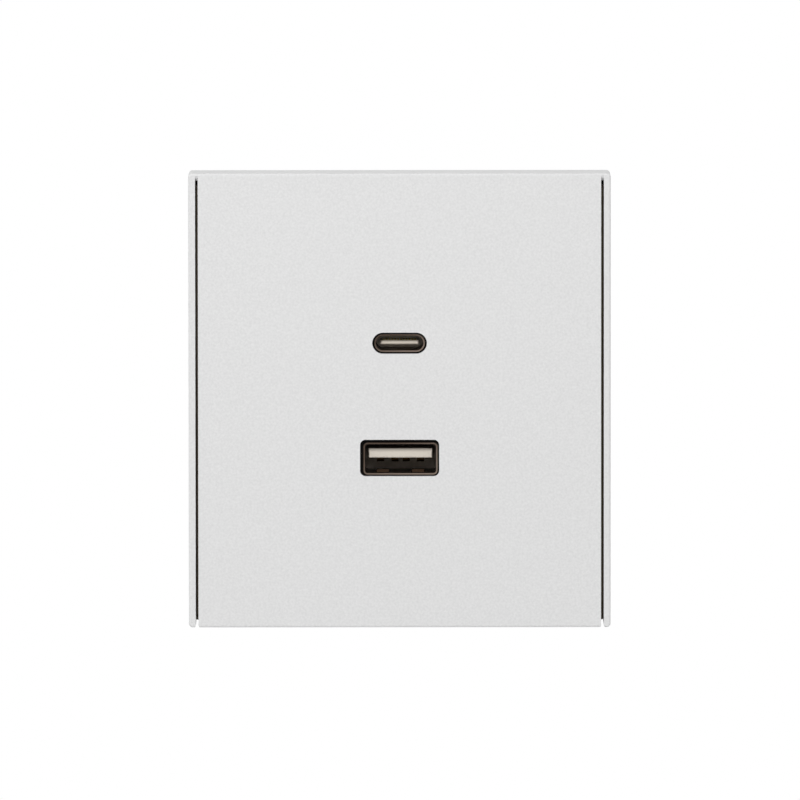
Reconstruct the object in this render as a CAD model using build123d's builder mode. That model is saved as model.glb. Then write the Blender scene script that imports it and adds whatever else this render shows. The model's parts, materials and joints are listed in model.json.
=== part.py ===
from build123d import *
import os

os.makedirs("parts", exist_ok=True)

# Flush wall socket with a USB-C and a USB-A port. Millimetres.
# The wall is the plane y = 0, the room lies towards -Y and +Z is up.

# Cover: one moulding with a face, four walls and two slits that free its flanks
overall_width = 74.2
overall_height = 80.1
front_depth = 11.0
cover_wall = 1.2
cover_end_wall = 1.35
face_thickness = 2.2
corner_radius = 0.7
edge_radius = 0.4
slit_width = 0.48
slit_top_bridge = 0.45
slit_end_bulge = 0.1
slit_mouth_radius = 0.35
rib_height = 1.2
rib_width = 1.0
rib_spacing_x = 48.0
rib_spacing_z = 56.0
hook_spacing = 44.0
hook_length = 8.0
hook_run = 2.0
hook_flat = 0.5
hook_grip = 0.45

# Base frame: the dark ring at the wall, with a collar that the cover clips on
base_thickness = 2.4
base_inset = 0.55
base_corner_radius = 1.0
cover_seat_gap = 0.2
collar_gap = 0.75
collar_side_gap = 0.12
collar_wall = 1.4
collar_front_gap = 0.3
catch_gap = 0.3
ring_wall = 2.3
window_margin = 5.0
boss_radius = 3.0
boss_height = 3.3
boss_inset = 1.5
boss_edge = 4.75

# Mounting support: the steel plate that is screwed to the wall box
support_thickness = 1.0
support_corner_radius = 2.0
box_screw_spacing = 60.0
box_slot_width = 3.5
box_slot_length = 5.0
box_slot_margin = 1.75
screw_head_room = 7.0
screw_head_height = 3.0
bead_length = 12.0
bead_width = 1.6
bead_height = 0.4
bead_start = 7.0
bead_inset = 1.7

# Charger module: a two-part housing that fits a round wall box
module_size = 44.0
module_clip = 6.0
module_wall = 1.5
module_depth = 31.0
module_split = 6.0
module_rear_wall = 1.6
module_edge_radius = 1.2
support_window_gap = 0.5
flange_size = 52.0
flange_thickness = 1.6
flange_clip = 8.0
island_width = 32.0
island_height = 40.0
island_radius = 2.0
island_chamfer = 0.4
island_gap = 0.4
nose_length = 6.0
nose_spacing = 22.0
nose_reach = 0.9
nose_depth = 2.0
nose_gap = 0.15
lip_wall = 1.2
lip_length = 2.8
lip_gap = 0.15
snap_length = 8.0
snap_depth = 1.0
snap_reach = 0.6
snap_gap = 0.3
gauge_length = 11.0
gauge_width = 0.8
gauge_end_height = 3.0
gauge_depth = 0.4
gauge_rise = 3.5

# Ports
port_spacing = 20.24
shell_recess = 0.4
shell_wall = 0.3
rim_chamfer = 0.1
usb_c_surround_x = 0.33
usb_c_surround_z = 0.28
usb_c_width = 8.94
usb_c_height = 3.16
usb_c_tongue_width = 6.69
usb_c_tongue_height = 0.7
usb_c_tongue_recess = 1.7
usb_c_tongue_length = 4.4
usb_c_contact_count = 12
usb_c_contact_pitch = 0.5
usb_c_contact_width = 0.25
usb_c_contact_length = 3.4
usb_c_contact_height = 0.05
usb_c_tongue_chamfer = 0.15
usb_a_surround_x = 0.4
usb_a_surround_z = 0.37
usb_a_opening_radius = 0.95
usb_a_width = 13.1
usb_a_height = 5.7
usb_a_radius = 0.8
usb_a_shift_x = 0.15
usb_a_shift_z = -0.15
usb_a_tongue_width = 11.1
usb_a_tongue_height = 1.62
usb_a_tongue_rise = 0.9
usb_a_tongue_recess = 1.0
usb_a_tongue_slope = 0.55
usb_a_tongue_chamfer = 0.15
usb_a_back_depth = 8.6
usb_a_contact_spots = (-3.5, -1.0, 1.0, 3.5)
usb_a_contact_width = 1.25
usb_a_contact_thickness = 0.2
usb_a_contact_drop = 0.65
usb_a_contact_bend = 0.25
usb_a_bump_recess = 2.2
usb_a_bump_run = 1.8
usb_a_tab_spacing = 6.2
usb_a_tab_width = 2.1
usb_a_tab_start = 2.0
usb_a_tab_length = 3.0
usb_a_tab_free_gap = 0.6
usb_a_tab_run = 0.5
usb_a_tab_rise = 0.65
usb_a_tab_end_rise = 0.25
usb_a_tab_bend = 0.25
frame_recess = 0.7
frame_gap = 0.04
port_hole_gap = 0.04
inner_fit = 0.05

# Boards and the parts that they carry
board_thickness = 1.6
board_gap = 0.3
port_board_y = 0.0
power_board_y = 22.4
board_block_gap = 1.5
port_screw_inset = 2.3
power_post_inset_x = 3.4
power_post_inset_top = 4.6
power_post_inset_bottom = 2.6
power_post_radius = 2.2
small_screw_radius = 1.0
small_screw_head_radius = 1.9
small_screw_head_height = 1.2
small_screw_length = 5.2
port_seat_radius = 2.0
port_screw_length = 3.6
base_screw_radius = 1.25
base_screw_head_radius = 2.25
base_screw_head_height = 1.6
base_screw_length = 6.0
screw_recess_width = 0.6
screw_recess_depth = 0.6
thread_gap = 0.05
screw_clearance = 0.1

core_width = 16.0
core_height = 14.0
core_depth = 5.0
core_leg = 2.2
core_centre_leg = 4.4
transformer_lift = 7.4
bobbin_wall = 0.6
bobbin_flange = 0.7
bobbin_size = 11.0
winding_size = 10.4
winding_radius = 1.2

bulk_capacitor_radius = 3.15
bulk_capacitor_length = 12.5
output_capacitor_radius = 3.15
output_capacitor_length = 9.0
capacitor_edge = 0.6
capacitor_gap = 0.3
capacitor_core_gap = 0.45
capacitor_drop = 0.9
board_edge_gap = 0.3
choke_radius = 2.0
choke_length = 7.0
choke_x = -8.0
fuse_width = 6.0
fuse_height = 3.6
fuse_length = 7.5
fuse_x = 10.0
fuse_corner_radius = 0.6
safety_disc_radius = 3.0
safety_disc_thickness = 2.6
safety_disc_edge = 0.8
safety_disc_inset = 1.7
safety_disc_drop = 3.0
chip_height = 1.5
chip_chamfer = 0.3
rectifier_width = 4.0
rectifier_height = 5.5
rectifier_x = -8.0
controller_width = 5.5
controller_height = 4.0
charge_chip_size = 4.0
link_pitch = 2.54
link_count = 6
link_pin = 0.64
link_inset = 2.9
link_strip = 2.5

# Terminals at the rear, with two push-in poles
block_width = 25.0
block_height = 11.0
block_floor_gap = 1.0
block_depth = 12.0
block_proud = 0.5
block_gap = 0.2
block_shoulder = 0.8
block_shoulder_depth = 1.4
pole_wall = 1.2
pole_rear_wall = 5.1
pole_roof = 1.4
pole_floor = 0.8
wire_radius = 1.4
wire_x = 4.2
wire_z = 2.0
wire_funnel_radius = 2.2
wire_funnel_depth = 0.8
button_width = 3.4
button_height = 5.0
button_x = 8.9
button_z = -0.2
button_gap = 0.15
button_proud = 0.7
button_collar = 0.4
button_collar_depth = 1.2
button_rest_gap = 0.2
button_nose_depth = 1.6
button_nose_height = 1.4
button_nose_drop = 1.2
button_groove_length = 1.7
button_groove_width = 0.8
button_groove_depth = 0.8
button_chamfer = 0.3
contact_bar_width = 5.2
contact_bar_thickness = 0.6
contact_tab_width = 2.4
contact_tab_y = 0.5
spring_thickness = 0.4
spring_bend = 0.9
spring_leg_gap = 0.5
spring_bend_gap = 2.4
spring_tip_gap = 1.0
spring_side_gap = 0.4

# Depths that follow from the sizes above
face_y = -front_depth
face_rear_y = face_y + face_thickness
base_front_y = -base_thickness
cover_rear_y = base_front_y - cover_seat_gap
collar_front_y = face_rear_y + collar_front_gap
support_front_y = -support_thickness
flange_front_y = support_front_y - flange_thickness
island_front_y = face_rear_y + island_gap
shell_front_y = face_y + shell_recess
frame_front_y = face_y + frame_recess
port_board_rear_y = port_board_y + board_thickness
power_board_rear_y = power_board_y + board_thickness
module_floor_y = module_depth - module_rear_wall
block_rear_y = module_depth + block_proud
block_front_y = block_rear_y - block_depth
pole_rear_y = block_rear_y - pole_rear_wall

# Widths and heights that follow from the sizes above
inner_width = overall_width - 2 * cover_wall
inner_height = overall_height - 2 * cover_end_wall
slit_x = inner_width / 2 - slit_width / 2
collar_width = inner_width - 2 * collar_side_gap
collar_height = inner_height - 2 * collar_gap
window_size = flange_size + 2 * window_margin
base_width = overall_width - 2 * base_inset
base_height = overall_height - 2 * base_inset
support_width = base_width - 2 * ring_wall
support_height = box_screw_spacing + box_slot_length + 2 * box_slot_margin
boss_spot_x = support_width / 2 - boss_edge
boss_spot_z = window_size / 2 - boss_inset
bead_spot = flange_size / 2 + bead_inset + bead_width / 2
module_inner = module_size - 2 * module_wall
lip_size = module_inner - 2 * lip_gap
board_size = module_inner - 2 * board_gap
usb_c_x = 0.0
usb_c_z = port_spacing / 2
usb_c_opening_width = usb_c_width + 2 * usb_c_surround_x
usb_c_opening_height = usb_c_height + 2 * usb_c_surround_z
usb_a_opening_width = usb_a_width + 2 * usb_a_surround_x
usb_a_opening_height = usb_a_height + 2 * usb_a_surround_z
usb_a_x = usb_a_shift_x
usb_a_opening_z = -port_spacing / 2
usb_a_z = usb_a_opening_z + usb_a_shift_z
block_z = -module_inner / 2 + block_floor_gap + block_height / 2
pole_top_z = block_z + block_height / 2 - pole_roof
pole_bottom_z = block_z - block_height / 2 + pole_floor
power_board_bottom = block_z + block_height / 2 + board_block_gap
port_screw_x = board_size / 2 - port_screw_inset
power_post_x = board_size / 2 - power_post_inset_x
power_post_top = board_size / 2 - power_post_inset_top
power_post_bottom = power_board_bottom + power_post_inset_bottom
transformer_z = (power_board_bottom + board_size / 2) / 2
capacitor_z = transformer_z - capacitor_drop
bulk_capacitor_x = -core_width / 2 - capacitor_core_gap - bulk_capacitor_radius
output_capacitor_x = core_width / 2 + capacitor_core_gap + output_capacitor_radius
choke_z = power_board_bottom + board_edge_gap + choke_radius
fuse_z = power_board_bottom + board_edge_gap + fuse_height / 2
safety_disc_x = board_size / 2 - safety_disc_inset
safety_disc_z = transformer_z - safety_disc_drop
link_z = board_size / 2 - link_inset


def facing_room(y):
    """Plane parallel to the wall at depth y: x to the right, y up, normal towards the room."""
    return Plane.XZ.offset(-y)


def clipped_square(size, clip):
    """Square with its corners cut off, the outline that clears a round wall box."""
    with BuildSketch() as outline:
        Rectangle(size, size)
        chamfer(outline.vertices(), clip)
    return outline.sketch


def inner_clip(clip, wall):
    """Corner cut of a clipped square that lies one wall inside another."""
    return clip - wall * (2 - 2**0.5)


def save(piece, node):
    """Label a finished piece and write it under its node's name."""
    piece.part.label = node
    export_step(piece.part, f"parts/{node}.step")


# Front cover
with BuildPart() as front_cover:
    with BuildSketch(facing_room(cover_rear_y)):
        RectangleRounded(overall_width, overall_height, corner_radius)
    extrude(amount=cover_rear_y - face_y)
    fillet(front_cover.faces().sort_by(Axis.Y)[0].edges(), edge_radius)
    with BuildSketch(facing_room(cover_rear_y)):
        Rectangle(inner_width, inner_height)
    extrude(amount=cover_rear_y - face_rear_y, mode=Mode.SUBTRACT)
    # stiffening ribs behind the face, inside the collar of the base frame
    with BuildSketch(facing_room(face_rear_y + rib_height)):
        with GridLocations(rib_spacing_x, 0, 2, 1):
            Rectangle(rib_width, rib_spacing_z + rib_width)
        with GridLocations(0, rib_spacing_z, 1, 2):
            Rectangle(rib_spacing_x + rib_width, rib_width)
    extrude(amount=rib_height)
    # openings of the two ports
    with BuildSketch(facing_room(face_rear_y)):
        with Locations((0, usb_c_z)):
            SlotOverall(usb_c_opening_width, usb_c_opening_height)
        with Locations((0, usb_a_opening_z)):
            RectangleRounded(usb_a_opening_width, usb_a_opening_height, usb_a_opening_radius)
    extrude(amount=face_thickness, mode=Mode.SUBTRACT)
    # slits: open at the bottom, and rounded over into the front of the top wall
    slit_top = inner_height / 2
    slit_bottom = -overall_height / 2
    with BuildSketch(facing_room(cover_rear_y)) as slits:
        with Locations((0, (slit_top + slit_bottom) / 2)):
            with GridLocations(2 * slit_x, 0, 2, 1):
                Rectangle(slit_width, slit_top - slit_bottom)
        # a strip below the bottom edge, so that the corners of the two mouths can be rounded
        with Locations((0, slit_bottom)):
            Rectangle(overall_width, cover_end_wall, align=(Align.CENTER, Align.MAX))
        fillet(slits.vertices().filter_by_position(Axis.Y, slit_bottom, slit_bottom), slit_mouth_radius)
    extrude(amount=cover_rear_y - face_y, mode=Mode.SUBTRACT)
    run_out = cover_end_wall - slit_top_bridge
    for slit_side in (-1, 1):
        with BuildSketch(Plane.YZ.offset(slit_side * slit_x - slit_width / 2)):
            with BuildLine():
                Polyline((face_y, slit_top + run_out), (face_y, slit_top), (face_y + run_out, slit_top))
                ThreePointArc(
                    (face_y + run_out, slit_top),
                    (face_y + run_out / 2 - slit_end_bulge, slit_top + run_out / 2 - slit_end_bulge),
                    (face_y, slit_top + run_out),
                )
            make_face()
        extrude(amount=slit_width, mode=Mode.SUBTRACT)
    # snap hooks on the inside of the top and bottom walls
    hook_tip = collar_gap + hook_grip
    hook_front_y = cover_rear_y - hook_run
    with BuildSketch(Plane.YZ.offset(hook_spacing / 2 - hook_length / 2)) as hook_profile:
        with BuildLine():
            Polyline(
                (hook_front_y, inner_height / 2),
                (hook_front_y, inner_height / 2 - hook_tip),
                (hook_front_y + hook_flat, inner_height / 2 - hook_tip),
                (cover_rear_y, inner_height / 2),
                close=True,
            )
        make_face()
        mirror(about=Plane.XZ)
    extrude(amount=hook_length)
    extrude(hook_profile.sketch.moved(Location((-hook_spacing, 0, 0))), amount=hook_length)
save(front_cover, "front_cover")

# Base frame
with BuildPart() as base_frame:
    with BuildSketch(facing_room(0)):
        RectangleRounded(base_width, base_height, base_corner_radius)
    extrude(amount=base_thickness)
    with BuildSketch(facing_room(base_front_y)):
        Rectangle(collar_width, collar_height)
        Rectangle(collar_width - 2 * collar_wall, collar_height - 2 * collar_wall, mode=Mode.SUBTRACT)
    extrude(amount=base_front_y - collar_front_y)
    # window for the module, with room for the heads of the box screws
    with BuildSketch(facing_room(0)):
        Rectangle(window_size, window_size)
        head_slot_length = box_slot_length - box_slot_width + screw_head_room
        with GridLocations(box_screw_spacing, 0, 2, 1):
            SlotOverall(head_slot_length, screw_head_room)
        with GridLocations(0, box_screw_spacing, 1, 2):
            SlotOverall(head_slot_length, screw_head_room, rotation=90)
    extrude(amount=support_thickness + screw_head_height, mode=Mode.SUBTRACT)
    # pocket that takes the support
    with BuildSketch(facing_room(0)):
        Rectangle(support_width + 2 * thread_gap, support_height + 2 * thread_gap)
    extrude(amount=support_thickness + thread_gap, mode=Mode.SUBTRACT)
    # screw bosses in the window's corners
    with BuildSketch(facing_room(support_front_y - thread_gap)):
        with GridLocations(2 * boss_spot_x, 2 * boss_spot_z, 2, 2):
            Circle(boss_radius)
    extrude(amount=boss_height)
    with BuildSketch(facing_room(0)):
        with GridLocations(2 * boss_spot_x, 2 * boss_spot_z, 2, 2):
            Circle(base_screw_radius + screw_clearance)
    extrude(amount=front_depth, mode=Mode.SUBTRACT)
    # catches for the cover's hooks
    catch_depth = hook_front_y - catch_gap
    with BuildSketch(facing_room(base_front_y)):
        with GridLocations(hook_spacing, collar_height - collar_wall, 2, 2):
            Rectangle(hook_length + 2 * catch_gap, collar_wall)
    extrude(amount=base_front_y - catch_depth, mode=Mode.SUBTRACT)
save(base_frame, "base_frame")

# Mounting support
with BuildPart() as mounting_support:
    with BuildSketch(facing_room(0)):
        RectangleRounded(support_width, support_height, support_corner_radius)
        add(clipped_square(module_size + 2 * support_window_gap, module_clip), mode=Mode.SUBTRACT)
        with GridLocations(box_screw_spacing, 0, 2, 1):
            SlotOverall(box_slot_length, box_slot_width, mode=Mode.SUBTRACT)
        with GridLocations(0, box_screw_spacing, 1, 2):
            SlotOverall(box_slot_length, box_slot_width, rotation=90, mode=Mode.SUBTRACT)
        with GridLocations(2 * boss_spot_x, 2 * boss_spot_z, 2, 2):
            Circle(base_screw_radius + thread_gap, mode=Mode.SUBTRACT)
    extrude(amount=support_thickness)
    # stiffening beads, stamped towards the room beside each slot
    for bead_side in (-1, 1):
        bead_middle = bead_side * (bead_start + bead_length / 2)
        for bead_base_y, bead_mode in ((support_front_y, Mode.ADD), (0, Mode.SUBTRACT)):
            with BuildSketch(facing_room(bead_base_y)):
                with Locations((bead_middle, -bead_spot), (bead_middle, bead_spot)):
                    Rectangle(bead_length, bead_width)
                with Locations((-bead_spot, bead_middle), (bead_spot, bead_middle)):
                    Rectangle(bead_width, bead_length)
            extrude(amount=bead_height, mode=bead_mode)
save(mounting_support, "mounting_support")

# Screws that hold the base frame to the support
base_screw_seat_y = support_front_y - thread_gap - boss_height
with BuildPart() as base_screws:
    with BuildSketch(facing_room(base_screw_seat_y)):
        with GridLocations(2 * boss_spot_x, 2 * boss_spot_z, 2, 2):
            Circle(base_screw_head_radius)
    extrude(amount=base_screw_head_height)
    with BuildSketch(facing_room(base_screw_seat_y)):
        with GridLocations(2 * boss_spot_x, 2 * boss_spot_z, 2, 2):
            Circle(base_screw_radius)
    extrude(amount=-base_screw_length)
    with BuildSketch(facing_room(base_screw_seat_y - base_screw_head_height)):
        with GridLocations(2 * boss_spot_x, 2 * boss_spot_z, 2, 2):
            Rectangle(2 * base_screw_radius, screw_recess_width)
            Rectangle(screw_recess_width, 2 * base_screw_radius)
    extrude(amount=-screw_recess_depth, mode=Mode.SUBTRACT)
save(base_screws, "base_screws")

# Module front: flange on the support, island behind the ports and a sleeve through the support
port_screw_hole = small_screw_radius + thread_gap
with BuildPart() as module_front:
    with BuildSketch(facing_room(support_front_y)):
        add(clipped_square(flange_size, flange_clip))
    extrude(amount=flange_thickness)
    with BuildSketch(facing_room(flange_front_y)):
        RectangleRounded(island_width, island_height, island_radius)
    extrude(amount=flange_front_y - island_front_y)
    chamfer(module_front.faces().sort_by(Axis.Y)[0].edges(), island_chamfer)
    with BuildSketch(facing_room(module_split)):
        add(clipped_square(module_size, module_clip))
        add(clipped_square(module_inner, inner_clip(module_clip, module_wall)), mode=Mode.SUBTRACT)
    extrude(amount=module_split - support_front_y)
    with BuildSketch(facing_room(support_front_y)):
        Rectangle(island_width - 2 * module_wall, island_height - 2 * module_wall)
    extrude(amount=support_front_y - island_front_y - module_wall, mode=Mode.SUBTRACT)
    # frames that line the cover's openings, and the holes in them that the two receptacles pass through
    with BuildSketch(facing_room(island_front_y)):
        with Locations((0, usb_c_z)):
            SlotOverall(usb_c_opening_width - 2 * frame_gap, usb_c_opening_height - 2 * frame_gap)
        with Locations((0, usb_a_opening_z)):
            RectangleRounded(
                usb_a_opening_width - 2 * frame_gap,
                usb_a_opening_height - 2 * frame_gap,
                usb_a_opening_radius - frame_gap,
            )
    extrude(amount=island_front_y - frame_front_y)
    with BuildSketch(facing_room(frame_front_y)):
        with Locations((usb_c_x, usb_c_z)):
            SlotOverall(usb_c_width + 2 * port_hole_gap, usb_c_height + 2 * port_hole_gap)
        with Locations((usb_a_x, usb_a_z)):
            RectangleRounded(
                usb_a_width + 2 * port_hole_gap,
                usb_a_height + 2 * port_hole_gap,
                usb_a_radius + port_hole_gap,
            )
    extrude(amount=frame_front_y - island_front_y - module_wall, mode=Mode.SUBTRACT)
    # seats and pilot holes of the port board
    with BuildSketch(facing_room(port_board_y)):
        with GridLocations(2 * port_screw_x, 0, 2, 1):
            Circle(port_seat_radius)
    extrude(amount=port_board_y - support_front_y)
    with BuildSketch(facing_room(port_board_y)):
        with GridLocations(2 * port_screw_x, 0, 2, 1):
            Circle(port_screw_hole)
    extrude(amount=port_screw_length - board_thickness + thread_gap, mode=Mode.SUBTRACT)
    # noses that grip behind the support
    with BuildSketch(Plane.XY.offset(nose_spacing / 2 - nose_length / 2)) as nose_profile:
        with BuildLine():
            Polyline(
                (module_size / 2, nose_gap),
                (module_size / 2 + nose_reach, nose_gap),
                (module_size / 2, nose_gap + nose_depth),
                close=True,
            )
        make_face()
        mirror(about=Plane.YZ)
    extrude(amount=nose_length)
    extrude(nose_profile.sketch.moved(Location((0, 0, -nose_spacing))), amount=nose_length)
    # windows for the snaps of the module rear
    snap_y = module_split - lip_length / 2
    with BuildSketch(Plane.XY.offset(-snap_length / 2 - snap_gap)):
        with Locations((0, snap_y)):
            Rectangle(module_size + nose_reach, snap_depth + 2 * snap_gap)
            Rectangle(module_inner - snap_gap, snap_depth + 2 * snap_gap, mode=Mode.SUBTRACT)
    extrude(amount=snap_length + 2 * snap_gap, mode=Mode.SUBTRACT)
save(module_front, "module_front")

# Module rear: a cup in the wall box, with a lip into the module front
with BuildPart() as module_rear:
    with BuildSketch(facing_room(module_depth)):
        add(clipped_square(module_size, module_clip))
    extrude(amount=module_depth - module_split)
    fillet(module_rear.faces().sort_by(Axis.Y)[-1].edges(), module_edge_radius)
    with BuildSketch(facing_room(module_split)):
        add(clipped_square(lip_size, inner_clip(module_clip, module_wall + lip_gap)))
    extrude(amount=lip_length)
    lip_inner = lip_size - 2 * lip_wall
    with BuildSketch(facing_room(module_floor_y)):
        add(clipped_square(lip_inner, inner_clip(module_clip, module_wall + lip_gap + lip_wall)))
    extrude(amount=module_floor_y - module_split + lip_length, mode=Mode.SUBTRACT)
    with BuildSketch(facing_room(module_floor_y)):
        add(clipped_square(module_inner, inner_clip(module_clip, module_wall)))
    extrude(amount=module_floor_y - module_split - lip_length, mode=Mode.SUBTRACT)
    # posts of the power board
    with BuildSketch(facing_room(module_floor_y)):
        for post_z in (power_post_top, power_post_bottom):
            with Locations((-power_post_x, post_z), (power_post_x, post_z)):
                Circle(power_post_radius)
    extrude(amount=module_floor_y - power_board_rear_y)
    with BuildSketch(facing_room(power_board_rear_y)):
        with Locations((-power_post_x, power_post_top), (power_post_x, power_post_top)):
            Circle(small_screw_radius + thread_gap)
    extrude(amount=-small_screw_length + board_thickness - thread_gap, mode=Mode.SUBTRACT)
    # window of the terminal block
    with BuildSketch(facing_room(module_depth)):
        with Locations((0, block_z)):
            Rectangle(block_width + 2 * block_gap, block_height + 2 * block_gap)
    extrude(amount=module_rear_wall, mode=Mode.SUBTRACT)
    # groove above the terminals that shows how far to strip a wire
    with BuildSketch(facing_room(module_depth)):
        with Locations((0, block_z + block_height / 2 + gauge_rise)):
            Rectangle(gauge_length, gauge_width)
            with GridLocations(gauge_length - gauge_width, 0, 2, 1):
                Rectangle(gauge_width, gauge_end_height)
    extrude(amount=gauge_depth, mode=Mode.SUBTRACT)
    # snaps on the lip
    with BuildSketch(Plane.XY.offset(-snap_length / 2)):
        with Locations((0, snap_y)):
            Rectangle(lip_size + 2 * snap_reach, snap_depth)
            Rectangle(lip_inner, snap_depth, mode=Mode.SUBTRACT)
    extrude(amount=snap_length)
save(module_rear, "module_rear")

# Port board, held by two screws to the module front
with BuildPart() as port_board:
    with BuildSketch(facing_room(port_board_rear_y)):
        add(clipped_square(board_size, inner_clip(module_clip, module_wall + board_gap)))
        with GridLocations(2 * port_screw_x, 0, 2, 1):
            Circle(small_screw_radius + screw_clearance, mode=Mode.SUBTRACT)
        with Locations((0, link_z)):
            with GridLocations(link_pitch, 0, link_count, 1):
                Rectangle(link_pin + 2 * thread_gap, link_pin + 2 * thread_gap, mode=Mode.SUBTRACT)
    extrude(amount=board_thickness)
save(port_board, "port_board")

with BuildPart() as port_board_screws:
    with BuildSketch(facing_room(port_board_rear_y)):
        with GridLocations(2 * port_screw_x, 0, 2, 1):
            Circle(small_screw_head_radius)
    extrude(amount=-small_screw_head_height)
    with BuildSketch(facing_room(port_board_rear_y)):
        with GridLocations(2 * port_screw_x, 0, 2, 1):
            Circle(small_screw_radius)
    extrude(amount=port_screw_length)
    with BuildSketch(facing_room(port_board_rear_y + small_screw_head_height)):
        with GridLocations(2 * port_screw_x, 0, 2, 1):
            Rectangle(2 * small_screw_radius, screw_recess_width)
            Rectangle(screw_recess_width, 2 * small_screw_radius)
    extrude(amount=screw_recess_depth, mode=Mode.SUBTRACT)
save(port_board_screws, "port_board_screws")

# Power board, on four posts of the module rear
with BuildPart() as power_board:
    with BuildSketch(facing_room(power_board_rear_y)):
        add(clipped_square(board_size, inner_clip(module_clip, module_wall + board_gap)))
        with Locations((0, power_board_bottom)):
            Rectangle(module_size, module_size, align=(Align.CENTER, Align.MAX), mode=Mode.SUBTRACT)
        with Locations((-power_post_x, power_post_top), (power_post_x, power_post_top)):
            Circle(small_screw_radius + screw_clearance, mode=Mode.SUBTRACT)
        with Locations((0, link_z)):
            with GridLocations(link_pitch, 0, link_count, 1):
                Rectangle(link_pin + 2 * thread_gap, link_pin + 2 * thread_gap, mode=Mode.SUBTRACT)
    extrude(amount=board_thickness)
save(power_board, "power_board")

with BuildPart() as power_board_screws:
    with BuildSketch(facing_room(power_board_y)):
        with Locations((-power_post_x, power_post_top), (power_post_x, power_post_top)):
            Circle(small_screw_head_radius)
    extrude(amount=small_screw_head_height)
    with BuildSketch(facing_room(power_board_y)):
        with Locations((-power_post_x, power_post_top), (power_post_x, power_post_top)):
            Circle(small_screw_radius)
    extrude(amount=-small_screw_length)
    with BuildSketch(facing_room(power_board_y - small_screw_head_height)):
        with Locations((-power_post_x, power_post_top), (power_post_x, power_post_top)):
            Rectangle(2 * small_screw_radius, screw_recess_width)
            Rectangle(screw_recess_width, 2 * small_screw_radius)
    extrude(amount=-screw_recess_depth, mode=Mode.SUBTRACT)
save(power_board_screws, "power_board_screws")

# USB-C receptacle: drawn shell, insulator with its tongue, and contacts on both sides of the tongue
usb_c_tip_y = shell_front_y + usb_c_tongue_recess
usb_c_back_y = usb_c_tip_y + usb_c_tongue_length
with BuildPart() as usb_c_shell:
    with BuildSketch(facing_room(port_board_y)):
        with Locations((usb_c_x, usb_c_z)):
            SlotOverall(usb_c_width, usb_c_height)
            SlotOverall(usb_c_width - 2 * shell_wall, usb_c_height - 2 * shell_wall, mode=Mode.SUBTRACT)
    extrude(amount=port_board_y - shell_front_y)
    chamfer(usb_c_shell.faces().sort_by(Axis.Y)[0].edges(), rim_chamfer)
save(usb_c_shell, "usb_c_shell")

with BuildPart() as usb_c_tongue:
    with BuildSketch(facing_room(port_board_y)):
        with Locations((usb_c_x, usb_c_z)):
            SlotOverall(
                usb_c_width - 2 * shell_wall - 2 * inner_fit,
                usb_c_height - 2 * shell_wall - 2 * inner_fit,
            )
    extrude(amount=port_board_y - usb_c_back_y)
    with BuildSketch(facing_room(usb_c_back_y)):
        with Locations((usb_c_x, usb_c_z)):
            Rectangle(usb_c_tongue_width, usb_c_tongue_height)
    extrude(amount=usb_c_tongue_length)
    chamfer(usb_c_tongue.faces().sort_by(Axis.Y)[0].edges(), usb_c_tongue_chamfer)
save(usb_c_tongue, "usb_c_tongue")

with BuildPart() as usb_c_contacts:
    contact_spread = usb_c_tongue_height + usb_c_contact_height
    with BuildSketch(facing_room(usb_c_back_y)):
        with Locations((usb_c_x, usb_c_z)):
            with GridLocations(usb_c_contact_pitch, contact_spread, usb_c_contact_count, 2):
                Rectangle(usb_c_contact_width, usb_c_contact_height)
    extrude(amount=usb_c_contact_length)
save(usb_c_contacts, "usb_c_contacts")

# USB-A receptacle: folded shell with two spring tabs, insulator with its tongue, and contacts under it
usb_a_tip_y = shell_front_y + usb_a_tongue_recess
usb_a_back_y = shell_front_y + usb_a_back_depth
usb_a_tongue_z = usb_a_z + usb_a_tongue_rise
usb_a_floor_z = usb_a_z - usb_a_height / 2 + shell_wall
tab_line_z = usb_a_floor_z - shell_wall / 2
tab_front_y = shell_front_y + usb_a_tab_start
tab_tip_y = tab_front_y + usb_a_tab_length
with BuildPart() as usb_a_shell:
    with BuildSketch(facing_room(port_board_y)):
        with Locations((usb_a_x, usb_a_z)):
            RectangleRounded(usb_a_width, usb_a_height, usb_a_radius)
            RectangleRounded(
                usb_a_width - 2 * shell_wall,
                usb_a_height - 2 * shell_wall,
                usb_a_radius - shell_wall,
                mode=Mode.SUBTRACT,
            )
    extrude(amount=port_board_y - shell_front_y)
    chamfer(usb_a_shell.faces().sort_by(Axis.Y)[0].edges(), rim_chamfer)
    # each tab is cut free on three sides and bent up into a crest that presses on the plug
    with BuildSketch(Plane.XY.offset(usb_a_floor_z - shell_wall)):
        with Locations((usb_a_x, tab_front_y)):
            with GridLocations(usb_a_tab_spacing, 0, 2, 1):
                Rectangle(
                    usb_a_tab_width + shell_wall,
                    usb_a_tab_length + usb_a_tab_free_gap,
                    align=(Align.CENTER, Align.MIN),
                )
    extrude(amount=shell_wall, mode=Mode.SUBTRACT)
    for tab_side in (-1, 1):
        tab_left = usb_a_x + tab_side * usb_a_tab_spacing / 2 - usb_a_tab_width / 2
        with BuildSketch(Plane.YZ.offset(tab_left)):
            with BuildLine():
                FilletPolyline(
                    (tab_front_y - shell_wall, tab_line_z),
                    (tab_front_y, tab_line_z),
                    (tab_front_y + usb_a_tab_run, tab_line_z + usb_a_tab_rise),
                    (tab_tip_y, tab_line_z + usb_a_tab_end_rise),
                    radius=usb_a_tab_bend,
                )
            trace(line_width=shell_wall)
        extrude(amount=usb_a_tab_width)
save(usb_a_shell, "usb_a_shell")

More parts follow.
